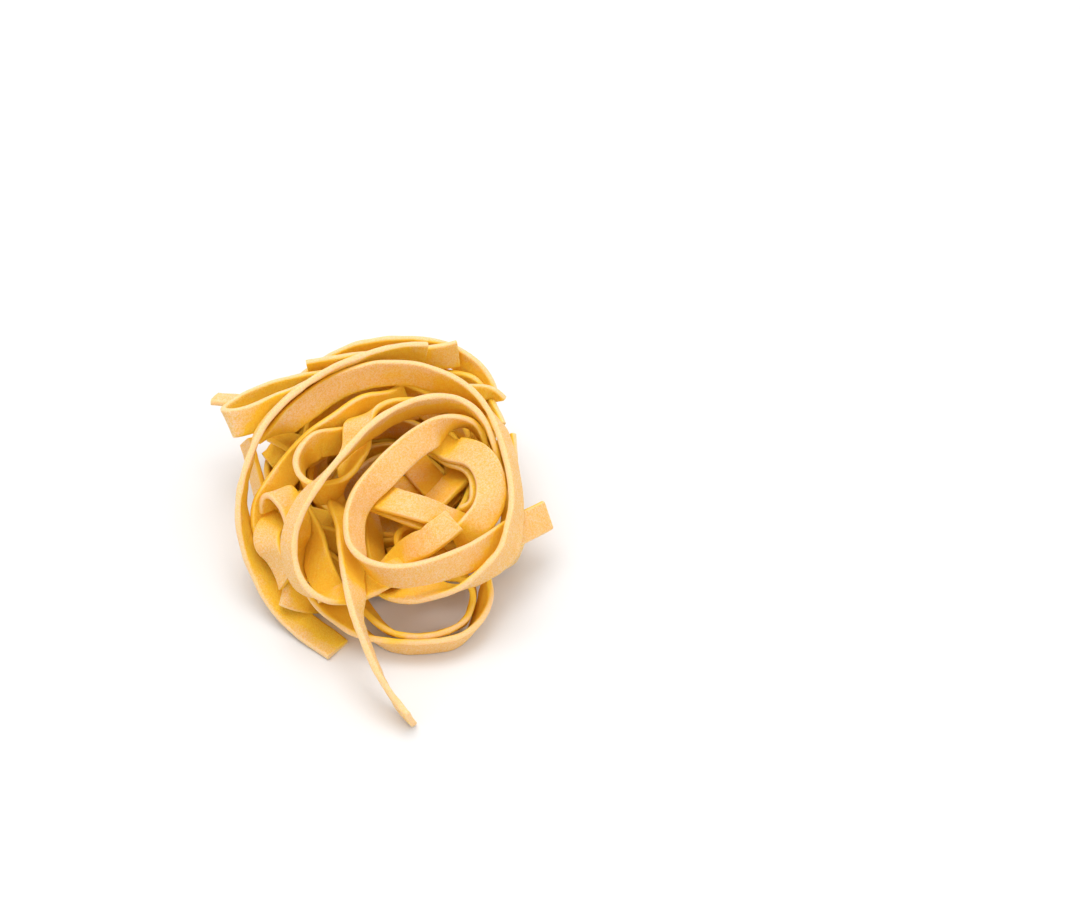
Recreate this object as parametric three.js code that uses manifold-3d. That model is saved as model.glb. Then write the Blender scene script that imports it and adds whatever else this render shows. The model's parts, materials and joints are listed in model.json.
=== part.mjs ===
import * as THREE from "three";
import { mergeVertices } from "three/addons/utils/BufferGeometryUtils.js";
import Module from "manifold-3d";

// A nest of dry ribbon pasta, in millimetres, +Z up. It lies on its side, so its coils lean back:
// their open face looks towards -Y and up. The origin is on the surface it lies on, under the
// middle of the coils. The nest is one solid, a grooved mound of wound courses with the strands
// that stand clear of it joined on.

// The strand: a flat ribbon cut from a rolled sheet.
const STRAND_WIDTH = 7.4;
const STRAND_THICKNESS = 1.6;
const STATION_SPACING = 3.8;
const LEAST_STATIONS = 4;

// The open face leans back by this angle, and routes are given as seen square-on to it.
const FACE_TILT = THREE.MathUtils.degToRad(45);
const ACROSS = new THREE.Vector3(1, 0, 0);
const UP_FACE = new THREE.Vector3(0, Math.sin(FACE_TILT), Math.cos(FACE_TILT));
const INWARD = new THREE.Vector3(0, Math.cos(FACE_TILT), -Math.sin(FACE_TILT));

// The mound: its outline seen from above, and the sloping plane that its rim lies in.
const MOUND_CENTRE = new THREE.Vector2(-1, 4);
const MOUND_HALF_WIDTH = 30.5;
const MOUND_HALF_DEPTH = 34;
const RIM_HEIGHT = 28;
const RIM_SLOPE = 0.24;
const DISH_DEPTH = 1.5;
const DISH_TURNS = 4;
const DISH_RIDGE = 0.8;

// The lobes that make the mound's outline uneven: how many there are round it, how far they stand
// out and how far round they are turned.
const LOBES = [
  { count: 3, depth: 0.9, turn: 1 },
  { count: 5, depth: 0.9, turn: 0 },
];

// The courses: strands wound on top of each other, one strand high, with a groove between them.
const COURSES = 4;
const GROOVE_DEPTH = 1.3;
const GROOVE_SHARE = 0.16;
const COURSE_WANDER = 1.1;
const WANDER_WAVES = 2;
const WANDER_TURN = 1.7;
const SIDE_BULGE = 1.5;
const BASE_INSET = 4;

// Low at the front the coils stand back, which leaves the loop of the lowest strand open. The notch
// closes above the loop, between these two shares of the side's height.
const NOTCH_DIRECTION = THREE.MathUtils.degToRad(-66);
const NOTCH_SPREAD = 0.6;
const NOTCH_DEPTH = 14;
const NOTCH_CLOSES = [0.3, 0.7];

const DIRECTIONS = 56;
const DISH_ROWS = 9;
const WELD_DISTANCE = 1e-4;

const pasta = new THREE.MeshStandardMaterial({
  name: "pasta",
  color: new THREE.Color(0.93, 0.76, 0.47),
  roughness: 0.7,
  metalness: 0,
});

const wasm = await Module();
wasm.setup();

// A closed three.js geometry as a manifold solid.
function solidOf(geometry) {
  const bare = geometry.clone();
  bare.deleteAttribute("normal");
  bare.deleteAttribute("uv");
  const merged = mergeVertices(bare, WELD_DISTANCE);
  return new wasm.Manifold(
    new wasm.Mesh({
      numProp: 3,
      vertProperties: new Float32Array(merged.attributes.position.array),
      triVerts: new Uint32Array(merged.index.array),
    }),
  );
}

// A manifold solid as a three.js geometry.
function geometryOf(solid) {
  const mesh = solid.getMesh();
  const geometry = new THREE.BufferGeometry();
  geometry.setAttribute("position", new THREE.BufferAttribute(mesh.vertProperties, 3));
  geometry.setIndex(new THREE.BufferAttribute(mesh.triVerts, 1));
  return geometry;
}

// Rows of points, each row closed on itself, skinned into one closed body. The first and the last
// row are closed by a fan round their middle point.
function skin(rows) {
  const count = rows[0].length;
  const points = rows.flat();
  const middle = (row) =>
    row.reduce((sum, p) => sum.add(p), new THREE.Vector3()).divideScalar(count);
  const first = points.push(middle(rows[0])) - 1;
  const last = points.push(middle(rows[rows.length - 1])) - 1;
  const index = [];
  for (let i = 0; i < count; i += 1) {
    const next = (i + 1) % count;
    index.push(first, next, i);
    for (let j = 0; j < rows.length - 1; j += 1) {
      const low = j * count;
      const high = low + count;
      index.push(low + i, low + next, high + next, low + i, high + next, high + i);
    }
    const top = (rows.length - 1) * count;
    index.push(last, top + i, top + next);
  }
  const geometry = new THREE.BufferGeometry().setFromPoints(points);
  geometry.setIndex(index);
  return geometry;
}

// The mound's outline radius in a direction: an ellipse with shallow lobes.
function rimRadius(direction) {
  const ellipse = Math.hypot(
    Math.cos(direction) / MOUND_HALF_WIDTH,
    Math.sin(direction) / MOUND_HALF_DEPTH,
  );
  const lobed = (sum, lobe) => sum + lobe.depth * Math.cos(lobe.count * direction + lobe.turn);
  return LOBES.reduce(lobed, 1 / ellipse);
}

const rimPlane = (y) => RIM_HEIGHT + RIM_SLOPE * y;

function onMound(direction, radius) {
  return new THREE.Vector2(Math.cos(direction), Math.sin(direction))
    .multiplyScalar(radius)
    .add(MOUND_CENTRE);
}

// A point of the side: share runs from the base to the rim, and groove is 1 between two courses.
function sidePoint(direction, share, course, groove) {
  const rim = onMound(direction, rimRadius(direction));
  const turn = Math.atan2(
    Math.sin(direction - NOTCH_DIRECTION),
    Math.cos(direction - NOTCH_DIRECTION),
  );
  const closed = THREE.MathUtils.smoothstep(share, ...NOTCH_CLOSES);
  const notch = NOTCH_DEPTH * Math.exp(-((turn / NOTCH_SPREAD) ** 2)) * (1 - closed);
  const waves = (course + WANDER_WAVES) * direction + WANDER_TURN * course;
  const wander = COURSE_WANDER * Math.sin(waves);
  const radius =
    rimRadius(direction) -
    BASE_INSET * (1 - share) -
    notch +
    SIDE_BULGE * Math.sin(Math.PI * share) +
    wander * (1 - groove) * Math.sin(Math.PI * share) -
    GROOVE_DEPTH * groove;
  const place = onMound(direction, radius);
  return new THREE.Vector3(place.x, place.y, share * rimPlane(rim.y));
}

// A point of the dished top: share runs from the rim to the middle, over a spiral of low ridges.
function dishPoint(direction, share) {
  const place = onMound(direction, rimRadius(direction) * (1 - share));
  const dish = DISH_DEPTH * (1 - (1 - share) ** 2);
  const spiral = 2 * Math.PI * DISH_TURNS * share + direction;
  const ridge = DISH_RIDGE * Math.cos(spiral) * Math.sin(Math.PI * share);
  return new THREE.Vector3(place.x, place.y, rimPlane(place.y) - dish + ridge);
}

function mound() {
  const directions = Array.from({ length: DIRECTIONS }, (_, i) => (2 * Math.PI * i) / DIRECTIONS);
  const rows = [];
  for (let course = 0; course < COURSES; course += 1) {
    for (const step of [0, GROOVE_SHARE, 1 - GROOVE_SHARE]) {
      const share = (course + step) / COURSES;
      const groove = step === 0 && course > 0 ? 1 : 0;
      rows.push(directions.map((d) => sidePoint(d, share, course, groove)));
    }
  }
  for (let row = 0; row < DISH_ROWS; row += 1) {
    rows.push(directions.map((d) => dishPoint(d, row / DISH_ROWS)));
  }
  return solidOf(skin(rows));
}

// A strand carried along its route. Each stop gives the strand's near edge, and how far across and
// up the face its other edge lies, seen square-on to the open face; the rest of the width runs
// inwards. Where a strand would pass below the surface, it lies flat on it.
function strand(stops) {
  const edge = new THREE.CatmullRomCurve3(stops.map(([x, y, z]) => new THREE.Vector3(x, y, z)));
  const lean = new THREE.CatmullRomCurve3(
    stops.map(([, , , across, up]) => new THREE.Vector3(across, up, 0)),
  );
  const stations = Math.max(LEAST_STATIONS, Math.round(edge.getLength() / STATION_SPACING));
  const rows = [];
  for (let i = 0; i <= stations; i += 1) {
    const t = i / stations;
    const near = edge.getPoint(t);
    const along = edge.getTangent(t);
    const { x: across, y: up } = lean.getPoint(t);
    const inward = Math.sqrt(Math.max(STRAND_WIDTH ** 2 - across ** 2 - up ** 2, 0));
    const wide = new THREE.Vector3()
      .addScaledVector(ACROSS, across)
      .addScaledVector(UP_FACE, up)
      .addScaledVector(INWARD, inward);
    wide.addScaledVector(along, -wide.dot(along)).setLength(STRAND_WIDTH);
    const thick = along.clone().cross(wide).setLength(STRAND_THICKNESS / 2);
    const corners = [
      near.clone().sub(thick),
      near.clone().add(wide).sub(thick),
      near.clone().add(wide).add(thick),
      near.clone().add(thick),
    ];
    rows.push(corners.map((p) => p.setZ(Math.max(p.z, 0))));
  }
  return solidOf(skin(rows));
}

// The strands that stand clear of the mound.
const ROUTES = {
  outerLoop: [
    [-12, -37.5, 1, 5, 3.5],
    [-23, -28.5, 2.5, 4.5, 4.5],
    [-30.5, -20, 9, 5.5, 2.5],
    [-34, -12, 18.5, 2.5, 0],
    [-33.7, -5, 25.5, 0.5, 0],
    [-30.7, 3, 31.5, 0, 0],
    [-25.5, 11, 36, -0.5, 0.5],
    [-18.5, 17.5, 38.5, 0, 0.5],
    [-9, 25, 39.5, 0.5, -1],
    [3, 32.5, 38.5, 1, -3.5],
    [11, 35, 37, 0.5, -4.5],
  ],
  topRing: [
    [-30, 8, 29, 0.5, 0],
    [-26, 11.5, 33, 3.5, -3],
    [-18.5, 19.5, 36, 3.5, -5],
    [-2, 27, 38, 0.5, -6],
    [15, 25, 37, -2, -5],
    [23, 20, 34.5, -1.5, -2],
    [29.5, 8, 29.5, 2, 0.5],
    [32, -8.5, 25.5, 2, 0],
    [29, -22, 22.5, 3.5, -1],
    [19.5, -29.5, 18, 0.5, 0.5],
    [6, -31, 14.5, 0, 4.5],
    [-3, -25, 15, 0, 0.5],
  ],
  innerRing: [
    [31, 0, 21, 0, 0],
    [28, 11, 30, -1, 1],
    [20.5, 19, 34, -1.5, 3],
    [9, 19.5, 36, 1, 4],
    [-3, 11.5, 36, 1, 1],
    [-12, 3, 34, -2, -1],
    [-18.5, -8, 31, -3.5, -1],
    [-21, -18, 25, -3.5, 0.5],
    [-17, -27, 18.5, -0.5, -1],
    [-9, -29.5, 17, -0.5, -4],
    [2, -26, 16.5, -2, -5],
  ],
  spiralBand: [
    [26, 6, 21, 0, 0],
    [24.5, 13.5, 28.5, -1.5, -1],
    [16.5, 13.5, 33, 1.5, -5.5],
    [6, 6.5, 33, 4.5, -5.5],
    [-4, -6, 31, 5, -4],
    [-7.5, -18, 28, 3.5, 0],
    [-3, -28, 26.5, -0.5, -1.5],
    [8, -30, 26, 0, -5.5],
    [20, -24, 25.5, 2, -5.5],
    [31, -9.5, 20, 3.5, -6],
    [40, 0, 16.5, 3, -6.5],
  ],
  tail: [
    [-11, -7, 22.5, 2, 0],
    [-10, -19, 23, 2.5, 0],
    [-7.5, -31.5, 22.5, 2, 0.5],
    [-4.5, -41.5, 19.5, 1, 0.5],
    [-0.5, -49.5, 14.5, -0.3, 0.5],
    [4.3, -55.3, 9.5, -1.2, 0.2],
    [8.8, -59.8, 6.5, -1.5, 0],
  ],
  lowLoop: [
    [-18, -14, 9, 1, 1],
    [-15, -26, 8, 1, 1],
    [-10, -32.5, 7, 0, -1],
    [2, -37, 7, 0, -3],
    [14, -37, 7, 0, -3],
    [23, -33, 7.5, -0.5, -1.5],
    [27, -25, 9, -2.5, 1],
    [24, -15, 11, -1, 2],
    [14, -9, 10.5, 1, 1.5],
  ],
  lowLoopInner: [
    [-8, -19, 9, 1, 1],
    [-4, -28.5, 7.5, 0.5, 0.5],
    [4, -34.5, 7, 0, -0.5],
    [15, -35, 7, 0, -0.5],
    [22.5, -29.5, 8, 1, 0.8],
    [22.5, -22.5, 10.5, -0.5, 1.5],
    [12, -19, 12, -0.5, 2.5],
  ],
  backFold: [
    [-8, 29, 31, 0, -5],
    [-21, 29.5, 31.5, 0.5, -5.5],
    [-34, 24, 31, 2, -6],
    [-39, 18, 31.5, 3, -6.5],
    [-37, 14, 34.5, 2, -7],
    [-29, 16, 35, 1, -7],
    [-19, 23.5, 34.5, 2, -6.5],
    [-9, 29, 33, 1.5, -6],
  ],
  backEnd: [
    [-43.5, 23, 28, 1, 2],
    [-33, 22, 28, 0.5, 2.5],
    [-20, 24, 27, 0.5, 2.5],
  ],
  backBand: [
    [-19.5, 32.5, 33, 0.5, -3],
    [-6, 34.5, 34, 0.5, -4],
    [10, 36, 34, 1, -4.5],
    [18, 39.5, 33.5, 1, -5.5],
  ],
  topBand: [
    [-10, 36, 28, 1, -5],
    [-15.5, 37.5, 30, 1, -5],
    [-9, 39, 33, 0.5, -4],
    [6, 41, 33.5, 0, -4],
    [16, 40, 32, -1.5, -5],
    [25.5, 34.5, 28, -3, -4.5],
    [28, 24, 24, -3.5, -3],
  ],
  sideStrand: [
    [34, 12, 27, -5, 1],
    [34.5, 0, 22.5, -6, 0],
    [35, -14, 15, -6, -3],
  ],
};

const joined = Object.values(ROUTES)
  .map(strand)
  .reduce((sum, piece) => sum.add(piece), mound());

// Small spaces that the strands close off inside the coils are filled: only the outer skin stays.
const nestSolid = joined
  .decompose()
  .reduce((best, piece) => (piece.volume() > best.volume() ? piece : best));

const nest = new THREE.Mesh(geometryOf(nestSolid), pasta);
nest.name = "nest";

const part = new THREE.Group();
part.add(nest);

export default part;
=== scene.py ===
import json
import math

import bpy
import numpy as np
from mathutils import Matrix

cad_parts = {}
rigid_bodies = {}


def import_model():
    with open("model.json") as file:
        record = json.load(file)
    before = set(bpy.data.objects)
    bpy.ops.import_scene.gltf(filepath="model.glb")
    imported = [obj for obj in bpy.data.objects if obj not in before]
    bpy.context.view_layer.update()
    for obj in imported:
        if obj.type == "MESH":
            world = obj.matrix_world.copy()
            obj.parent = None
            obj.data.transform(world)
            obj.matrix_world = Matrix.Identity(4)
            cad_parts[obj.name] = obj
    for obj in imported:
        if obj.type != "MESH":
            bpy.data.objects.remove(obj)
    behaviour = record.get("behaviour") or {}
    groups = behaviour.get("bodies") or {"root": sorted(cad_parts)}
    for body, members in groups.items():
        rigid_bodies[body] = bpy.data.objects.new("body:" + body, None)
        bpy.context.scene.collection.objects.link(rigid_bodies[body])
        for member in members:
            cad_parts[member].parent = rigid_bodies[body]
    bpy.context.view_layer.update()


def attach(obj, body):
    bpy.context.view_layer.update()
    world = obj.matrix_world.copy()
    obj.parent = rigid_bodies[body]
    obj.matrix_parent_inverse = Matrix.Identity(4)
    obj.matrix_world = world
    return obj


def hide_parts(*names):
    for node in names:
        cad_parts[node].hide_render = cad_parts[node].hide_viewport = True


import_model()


# ---- Face coils ----
# The long ribbons that ring the open face. Each is a flat strip cut from a rolled sheet of egg
# dough, wound by hand and dried, so it stands on edge and keeps the bends it was laid in.

MM = 0.001
STRAND_WIDTH = 7.4
STRAND_THICKNESS = 1.6
STATION_SPACING = 0.6
FINE_STEPS = 1200
ROUTE_EASE = 1.4
TABLE_GAP = 0.15

# The open face leans back by this angle. Routes are in millimetres in the nest's own frame, and
# each stop is (x, y, z, across, up): a point of the strand's near edge, and how far across and up
# the face its far edge lies, seen square-on. The rest of the width runs inwards.
FACE_TILT = math.radians(45)
ACROSS = np.array([1.0, 0.0, 0.0])
UP_FACE = np.array([0.0, math.sin(FACE_TILT), math.cos(FACE_TILT)])
INWARD = np.array([0.0, math.cos(FACE_TILT), -math.sin(FACE_TILT)])


def spline_through(knots, values, at):
    """Natural cubic spline. Its second derivatives at the knots solve the tridiagonal system that
    makes slopes agree; between two knots the value is the cubic those derivatives give."""
    gaps = np.diff(knots)
    system = np.eye(len(knots))
    right = np.zeros_like(values)
    inner = np.arange(1, len(knots) - 1)
    system[inner, inner - 1] = gaps[:-1]
    system[inner, inner] = 2 * (gaps[:-1] + gaps[1:])
    system[inner, inner + 1] = gaps[1:]
    slopes = np.diff(values, axis=0) / gaps[:, None]
    right[inner] = 6 * np.diff(slopes, axis=0)
    bend = np.linalg.solve(system, right)
    k = np.clip(np.searchsorted(knots, at) - 1, 0, len(knots) - 2)
    gap = gaps[k]
    a = ((knots[k + 1] - at) / gap)[:, None]
    b = ((at - knots[k]) / gap)[:, None]
    lift = ((a**3 - a) * bend[k] + (b**3 - b) * bend[k + 1]) * (gap**2)[:, None] / 6
    return a * values[k] + b * values[k + 1] + lift


def eased(rows, reach):
    """Running mean with bell weights about reach stations wide; past its ends a row goes on as its
    own mirror image, turned round the end point, so that ends stay where they are."""
    half = min(int(3 * reach) + 1, len(rows) - 1)
    bell = np.exp(-0.5 * (np.arange(-half, half + 1) / reach) ** 2)
    bell /= bell.sum()
    before = 2 * rows[0] - rows[half:0:-1]
    after = 2 * rows[-1] - rows[-2 : -half - 2 : -1]
    padded = np.concatenate([before, rows, after])
    return np.stack([np.convolve(column, bell, "valid") for column in padded.T], 1)


def unit(rows):
    """Rows divided by their own length."""
    return rows / np.maximum(np.linalg.norm(rows, axis=1), 1e-9)[:, None]


def steps_between(points):
    """The distance from each point to the next."""
    return np.linalg.norm(np.diff(points, axis=0), axis=1)


def running_sum(steps):
    """How far on each point lies: the sum of the steps before it."""
    return np.concatenate([[0.0], np.cumsum(steps)])


def read_off(rows, places, at):
    """Rows known at some places, read off at others in proportion between the two on either side."""
    return np.stack([np.interp(at, places, column) for column in rows.T], 1)


def route_strand(stops, tone=0.0):
    """A strand from its stops: a spline through them, cut into equal steps along its length. The
    spline's knots lie apart by the square root of the distance between their stops. What across and
    up leave of the strand's width runs inwards. Tone is the strand's own shade."""
    stops = np.asarray(stops, float)
    knots = running_sum(np.sqrt(steps_between(stops[:, :3])))
    fine = spline_through(knots, stops, np.linspace(0, knots[-1], FINE_STEPS))
    walked = running_sum(steps_between(fine[:, :3]))
    even = np.linspace(0, walked[-1], int(round(walked[-1] / STATION_SPACING)) + 1)
    rows = eased(read_off(fine, walked, even), ROUTE_EASE / STATION_SPACING)
    across, up = rows[:, 3:4], rows[:, 4:5]
    inward = np.sqrt(np.maximum(STRAND_WIDTH**2 - across**2 - up**2, 0))
    wide = across * ACROSS + up * UP_FACE + inward * INWARD
    return {"near": rows[:, :3], "wide": wide, "spacing": STATION_SPACING, "tone": tone}


def directions(strand):
    """Unit rows at each station: along the strand, which is the slope of its near edge; across its
    width, made square to that; and through its thickness, square to both."""
    along = unit(np.gradient(strand["near"], axis=0))
    wide = strand["wide"] - np.sum(strand["wide"] * along, 1)[:, None] * along
    wide = unit(wide)
    return along, wide, np.cross(along, wide)


# New strands are settled before they are skinned, because no two may share the same space. Each
# is watched at points spread over its middle surface, at every so many stations and at these shares
# of its width. Points of one strand don't meet unless they lie this far apart along it.
CONTACT_GAP = 1.66
SAMPLE_STEP = 2
SAMPLE_SHARES = np.linspace(0.04, 0.96, 7)
SAME_STRAND_CLEAR = 9.0
SETTLE_ROUNDS = 90
PUSH_GAIN = 2.0
LIFT_EASE = 2.0
# A strand gives more readily inwards, where the nest is open, than across or up the face.
SIDEWAYS_GIVE = 0.45
GIVE = SIDEWAYS_GIVE * np.eye(3) + (1 - SIDEWAYS_GIVE) * np.outer(INWARD, INWARD)
laid_points = []
laid_centres = []


def sample_points(strand):
    """Points over the strand's middle surface, the middle of the strand beside each, and how far
    along the strand each lies."""
    _, wide, _ = directions(strand)
    stations = np.arange(0, len(strand["near"]), SAMPLE_STEP)
    steps = SAMPLE_SHARES * STRAND_WIDTH
    near = strand["near"][stations]
    points = near[:, None] + wide[stations, None] * steps[None, :, None]
    centres = near + wide[stations] * STRAND_WIDTH / 2
    run = np.repeat(stations * strand["spacing"], len(steps))
    return points.reshape(-1, 3), np.repeat(centres, len(steps), 0), run


def near_pairs(a, b, reach):
    """Index pairs of points of a and b closer than reach: b is sorted into cubes of that size, and
    each point of a looks through the 27 cubes round it."""
    low = np.minimum(a.min(0), b.min(0)) - 2 * reach
    size = (np.maximum(a.max(0), b.max(0)) - low) // reach + 3
    strides = np.array([size[1] * size[2], size[2], 1])
    cell_a = ((a - low) // reach) @ strides
    cell_b = ((b - low) // reach) @ strides
    order = np.argsort(cell_b, kind="stable")
    cell_b = cell_b[order]
    found = []
    for cube in np.ndindex(3, 3, 3):
        want = cell_a + (np.array(cube) - 1) @ strides
        first = np.searchsorted(cell_b, want, "left")
        count = np.searchsorted(cell_b, want, "right") - first
        i = np.repeat(np.arange(len(a)), count)
        step = np.arange(count.sum()) - np.repeat(np.cumsum(count) - count, count)
        j = order[np.repeat(first, count) + step]
        close = np.sum((a[i] - b[j]) ** 2, 1) < reach**2
        found.append(np.stack([i[close], j[close]]))
    return np.concatenate(found, 1)


def lowest_edge(strand):
    """The height of the lower of a strand's two edges at each station."""
    wide = directions(strand)[1]
    return np.minimum(strand["near"][:, 2], (strand["near"] + wide * STRAND_WIDTH)[:, 2])


def edge_push(push, weights, hits, strand, give):
    """The push one edge of the strand takes at each station: the mean of its points' pushes, each
    counted by how near it lies to that edge, eased along the strand."""
    total = np.sum(push * weights[None, :, None], 1)
    counted = np.maximum(np.sum(hits * weights, 1), 1)
    sampled = np.arange(len(push)) * SAMPLE_STEP
    every = np.arange(len(strand["near"]))
    rows = read_off(total / counted[:, None], sampled, every)
    return eased(rows, give / strand["spacing"])


def contact_pushes(strands):
    """For each new strand, the push on each of its points and how many points that one meets. Two
    points nearer than the contact gap are pushed apart by what they lack of it, the more along the
    line between the strands' middles the deeper they are. Two new ones take half each, and one that
    meets a strand laid before takes it all."""
    watched = [sample_points(s) for s in strands]
    counts = [len(w[0]) for w in watched]
    points, centres, run = (np.concatenate(column) for column in zip(*watched))
    owner = np.repeat(np.arange(len(strands)), counts)
    every_point = np.concatenate([points] + laid_points)
    every_centre = np.concatenate([centres] + laid_centres)
    i, j = near_pairs(points, every_point, CONTACT_GAP)
    new = j < len(points)
    other = np.where(new, j, 0)
    beside = new & (owner[i] == owner[other]) & (np.abs(run[i] - run[other]) < SAME_STRAND_CLEAR)
    i, j, new = i[~beside], j[~beside], new[~beside]
    apart = points[i] - every_point[j]
    depth = 1 - np.linalg.norm(apart, axis=1) / CONTACT_GAP
    way = unit(apart) * (1 - depth[:, None]) + unit(centres[i] - every_centre[j]) * depth[:, None]
    push = unit(way) * (depth * CONTACT_GAP * np.where(new, 0.5, 1.0))[:, None] @ GIVE
    total = np.zeros_like(points)
    np.add.at(total, i, push)
    hits = np.bincount(i, minlength=len(points))
    ends = np.cumsum(counts)[:-1]
    across = len(SAMPLE_SHARES)
    pushes = [part.reshape(-1, across, 3) for part in np.split(total, ends)]
    touched = [part.reshape(-1, across) for part in np.split(hits, ends)]
    return zip(pushes, touched)


def settle(strands, give=4.0, hold=0.985):
    """Pushes new strands off each other and off those laid before, which stay. Each edge of a strand
    takes its share of the pushes, eased over the give, so that it twists as well as shifts, and holds
    that share of what it moved. What meets the table is lifted onto it."""
    homes = [(s["near"].copy(), directions(s)[1]) for s in strands]
    for _ in range(SETTLE_ROUNDS):
        for s, (push, hits), (home_near, home_wide) in zip(strands, contact_pushes(strands), homes):
            far = s["near"] + directions(s)[1] * STRAND_WIDTH
            near = s["near"] + edge_push(push, 1 - SAMPLE_SHARES, hits, s, give) * PUSH_GAIN
            far = far + edge_push(push, SAMPLE_SHARES, hits, s, give) * PUSH_GAIN
            near = home_near + (near - home_near) * hold
            wide = unit(unit(far - near) + (1 - hold) * home_wide)
            low = np.minimum(near[:, 2], near[:, 2] + wide[:, 2] * STRAND_WIDTH)
            lift = np.maximum(TABLE_GAP - low, 0)
            near[:, 2] += eased(lift[:, None], LIFT_EASE / s["spacing"])[:, 0]
            s["near"], s["wide"] = near, wide
    for s in strands:
        s["near"][:, 2] += np.maximum(TABLE_GAP - lowest_edge(s), 0)
        points, centres, _ = sample_points(s)
        laid_points.append(points)
        laid_centres.append(centres)
    return strands


# The strand's section: two broad faces, and two cut edges whose corners are soft. A row is a share
# of the width and a share of the thickness.
FACE_SHARES = np.array([0.08, 0.14, 0.26, 0.38, 0.5, 0.62, 0.74, 0.86, 0.92])
NOSE = np.array([[0.034, 0.44], [0.008, 0.27], [0.0, 0.0], [0.008, -0.27], [0.034, -0.44]])


def strand_section():
    """Rows of (share of the width, share of the thickness, 1 on a cut edge), once round."""
    flat = np.ones_like(FACE_SHARES)
    brink = np.ones(len(NOSE))
    near_edge = np.column_stack([NOSE[::-1], brink])
    upper = np.column_stack([FACE_SHARES, flat * 0.5, flat * 0])
    far_edge = np.column_stack([1 - NOSE[:, 0], NOSE[:, 1], brink])
    lower = upper[::-1] * [1, -1, 1]
    return np.concatenate([near_edge, upper, far_edge, lower])


# How far each measure of a strand drifts, and over about what length in millimetres. Width and
# thickness drift by a share of themselves, and the rest in millimetres: the hollow across the faces,
# a ripple that lifts one side of them and lowers the other, and a sway from side to side.
DRIFTS = {
    "width": (0.018, 24),
    "thickness": (0.05, 9),
    "hollow": (0.16, 30),
    "ripple": (0.05, 5),
    "sway": (0.07, 14),
}
DRIFT_SINES = 5
WAVE_SPREAD = 0.6
# Across the width the ripple is a cosine, which starts and spans this many radians.
RIPPLE_START = 1
RIPPLE_SPAN = 3


def drift(strand, measure, rng):
    """How a measure drifts along a strand: the sum of a few sines, whose lengths are its own length
    times e to a random power and whose phases are random, over the root of their number."""
    size, wave = DRIFTS[measure]
    waves = wave * np.exp(rng.uniform(-WAVE_SPREAD, WAVE_SPREAD, DRIFT_SINES))
    turns = rng.uniform(0, 2 * np.pi, DRIFT_SINES)
    run = np.arange(len(strand["near"])) * strand["spacing"]
    return size * (np.sin(2 * np.pi * run[:, None] / waves + turns).sum(1) / math.sqrt(DRIFT_SINES))


# A cut end is a little smaller than the section beside it, and this far beyond it.
END_SHARE = 0.985
END_REACH = 0.1


def skin_strand(strand, rng):
    """A strand's grid of points: its section carried along its stations, while its width, its
    thickness and the hollow across its faces drift. A smaller row beyond each end softens the cut."""
    along, wide, thick = directions(strand)
    share, depth, _ = strand_section().T
    width = STRAND_WIDTH * (1 + drift(strand, "width", rng))
    thickness = STRAND_THICKNESS * (1 + drift(strand, "thickness", rng))
    hollow = drift(strand, "hollow", rng)
    ripple = drift(strand, "ripple", rng)
    sway = drift(strand, "sway", rng)
    across = share * width[:, None] + sway[:, None]
    bow = hollow[:, None] * (1 - (2 * share - 1) ** 2)
    bow = bow + ripple[:, None] * np.cos(RIPPLE_SPAN * share + RIPPLE_START)
    through = depth * thickness[:, None] + bow
    rows = strand["near"][:, None] + wide[:, None] * across[..., None] + thick[:, None] * through[..., None]
    middle = rows.mean(1, keepdims=True)
    caps = middle + (rows - middle) * END_SHARE
    start = caps[:1] - along[:1, None] * END_REACH
    end = caps[-1:] + along[-1:, None] * END_REACH
    return np.concatenate([start, rows, end])


# Strands differ in shade by about this much, and each has its streaks from another part of the
# sheet, up to so many millimetres on along and across it.
TONE_SPREAD = 0.2
SHEET_LENGTH = 500
SHEET_WIDTH = 99


def write_values(mesh, name, values):
    """A number for each point of a mesh, as its attribute of that name."""
    mesh.attributes.new(name, "FLOAT", "POINT").data.foreach_set("value", values)


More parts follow.
